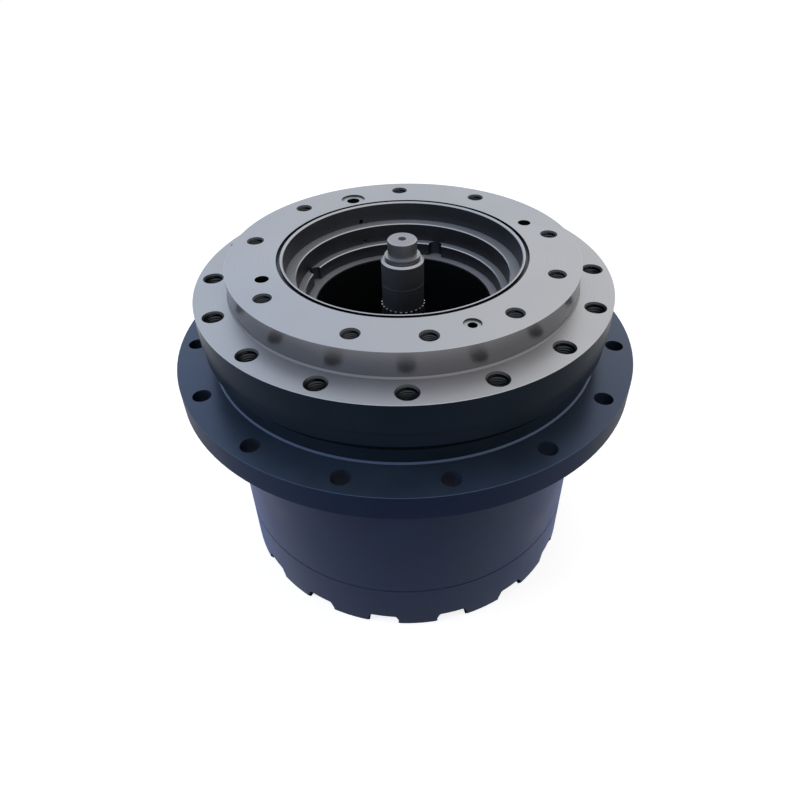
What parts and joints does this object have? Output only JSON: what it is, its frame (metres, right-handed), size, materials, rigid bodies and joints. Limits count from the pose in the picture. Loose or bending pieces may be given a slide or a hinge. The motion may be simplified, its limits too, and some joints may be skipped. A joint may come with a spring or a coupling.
{
  "type": "excavator final drive",
  "caption": "Planetary final drive for a tracked excavator: a fixed spindle with a stepped motor bore, and a hub with sprocket flange and footed end cover that turns round it.",
  "frame": {"origin": "on the axis, at the level of the feet of the end cover", "axes": "+Z along the axis from the cover to the motor face, +Y towards the inlet port in the motor face"},
  "size_m": [0.47, 0.4698, 0.3582],
  "materials": {
    "machined_iron": "turned",
    "blue_grey_paint": "semi-gloss",
    "ground_steel": "ground",
    "gear_steel": "machined and hardened",
    "bearing_steel": "polished",
    "seal_iron": "lapped",
    "black_rubber": "matt",
    "bolt_steel": "black oxide",
    "bronze": "machined"
  },
  "bodies": {
    "spindle": {"spindle": "machined_iron", "bearing_inner_rings": "bearing_steel", "seal_ring_upper": "seal_iron", "seal_rubber_upper": "black_rubber", "shaft_bearing": "bearing_steel", "shaft_seal": "black_rubber", "carrier_2": "gear_steel", "carrier_2_bolts": "bolt_steel", "planet_2_pins": "ground_steel"},
    "drum": {"hub": "blue_grey_paint", "end_cover": "blue_grey_paint", "cover_bolts": "bolt_steel", "oil_plugs": "bolt_steel", "thrust_pad": "bronze", "ring_gear": "gear_steel", "bearing_outer_rings": "bearing_steel", "seal_ring_lower": "seal_iron", "seal_rubber_lower": "black_rubber"},
    "rollers": {"bearing_rollers": "bearing_steel"},
    "first_carrier": {"carrier_1": "gear_steel", "sun_gear_2": "gear_steel", "planet_1_pins": "ground_steel"},
    "input": {"input_shaft": "ground_steel", "sun_gear_1": "gear_steel"},
    "first_planet_a": {"planet_1_a": "gear_steel"},
    "second_planet_a": {"planet_2_a": "gear_steel"},
    "first_planet_b": {"planet_1_b": "gear_steel"},
    "second_planet_b": {"planet_2_b": "gear_steel"},
    "first_planet_c": {"planet_1_c": "gear_steel"},
    "second_planet_c": {"planet_2_c": "gear_steel"}
  },
  "joints": [
    {"name": "drum_spin", "type": "hinge", "parent": "spindle", "child": "drum", "pos_m": [0, 0, 0], "axis": [0, 0, 1], "continuous": true},
    {"name": "rollers_spin", "type": "hinge", "parent": "spindle", "child": "rollers", "pos_m": [0, 0, 0], "axis": [0, 0, 1], "continuous": true},
    {"name": "first_carrier_spin", "type": "hinge", "parent": "spindle", "child": "first_carrier", "pos_m": [0, 0, 0], "axis": [0, 0, 1], "continuous": true},
    {"name": "input_spin", "type": "hinge", "parent": "spindle", "child": "input", "pos_m": [0, 0, 0], "axis": [0, 0, 1], "continuous": true},
    {"name": "first_planet_a_spin", "type": "hinge", "parent": "first_carrier", "child": "first_planet_a", "pos_m": [0.07548, 0.04902, 0], "axis": [0, 0, 1], "continuous": true},
    {"name": "second_planet_a_spin", "type": "hinge", "parent": "spindle", "child": "second_planet_a", "pos_m": [0, 0.0975, 0], "axis": [0, 0, 1], "continuous": true},
    {"name": "first_planet_b_spin", "type": "hinge", "parent": "first_carrier", "child": "first_planet_b", "pos_m": [-0.08019, 0.04086, 0], "axis": [0, 0, 1], "continuous": true},
    {"name": "second_planet_b_spin", "type": "hinge", "parent": "spindle", "child": "second_planet_b", "pos_m": [-0.08444, -0.04875, 0], "axis": [0, 0, 1], "continuous": true},
    {"name": "first_planet_c_spin", "type": "hinge", "parent": "first_carrier", "child": "first_planet_c", "pos_m": [0.00471, -0.08988, 0], "axis": [0, 0, 1], "continuous": true},
    {"name": "second_planet_c_spin", "type": "hinge", "parent": "spindle", "child": "second_planet_c", "pos_m": [0.08444, -0.04875, 0], "axis": [0, 0, 1], "continuous": true}
  ],
  "couplings": [
    {"joint": "rollers_spin", "follows": "drum_spin", "ratio": 0.52166},
    {"joint": "first_carrier_spin", "follows": "drum_spin", "ratio": -3.3333},
    {"joint": "input_spin", "follows": "drum_spin", "ratio": -25},
    {"joint": "first_planet_a_spin", "follows": "drum_spin", "ratio": 10.833},
    {"joint": "second_planet_a_spin", "follows": "drum_spin", "ratio": 2.8571},
    {"joint": "first_planet_b_spin", "follows": "drum_spin", "ratio": 10.833},
    {"joint": "second_planet_b_spin", "follows": "drum_spin", "ratio": 2.8571},
    {"joint": "first_planet_c_spin", "follows": "drum_spin", "ratio": 10.833},
    {"joint": "second_planet_c_spin", "follows": "drum_spin", "ratio": 2.8571}
  ]
}
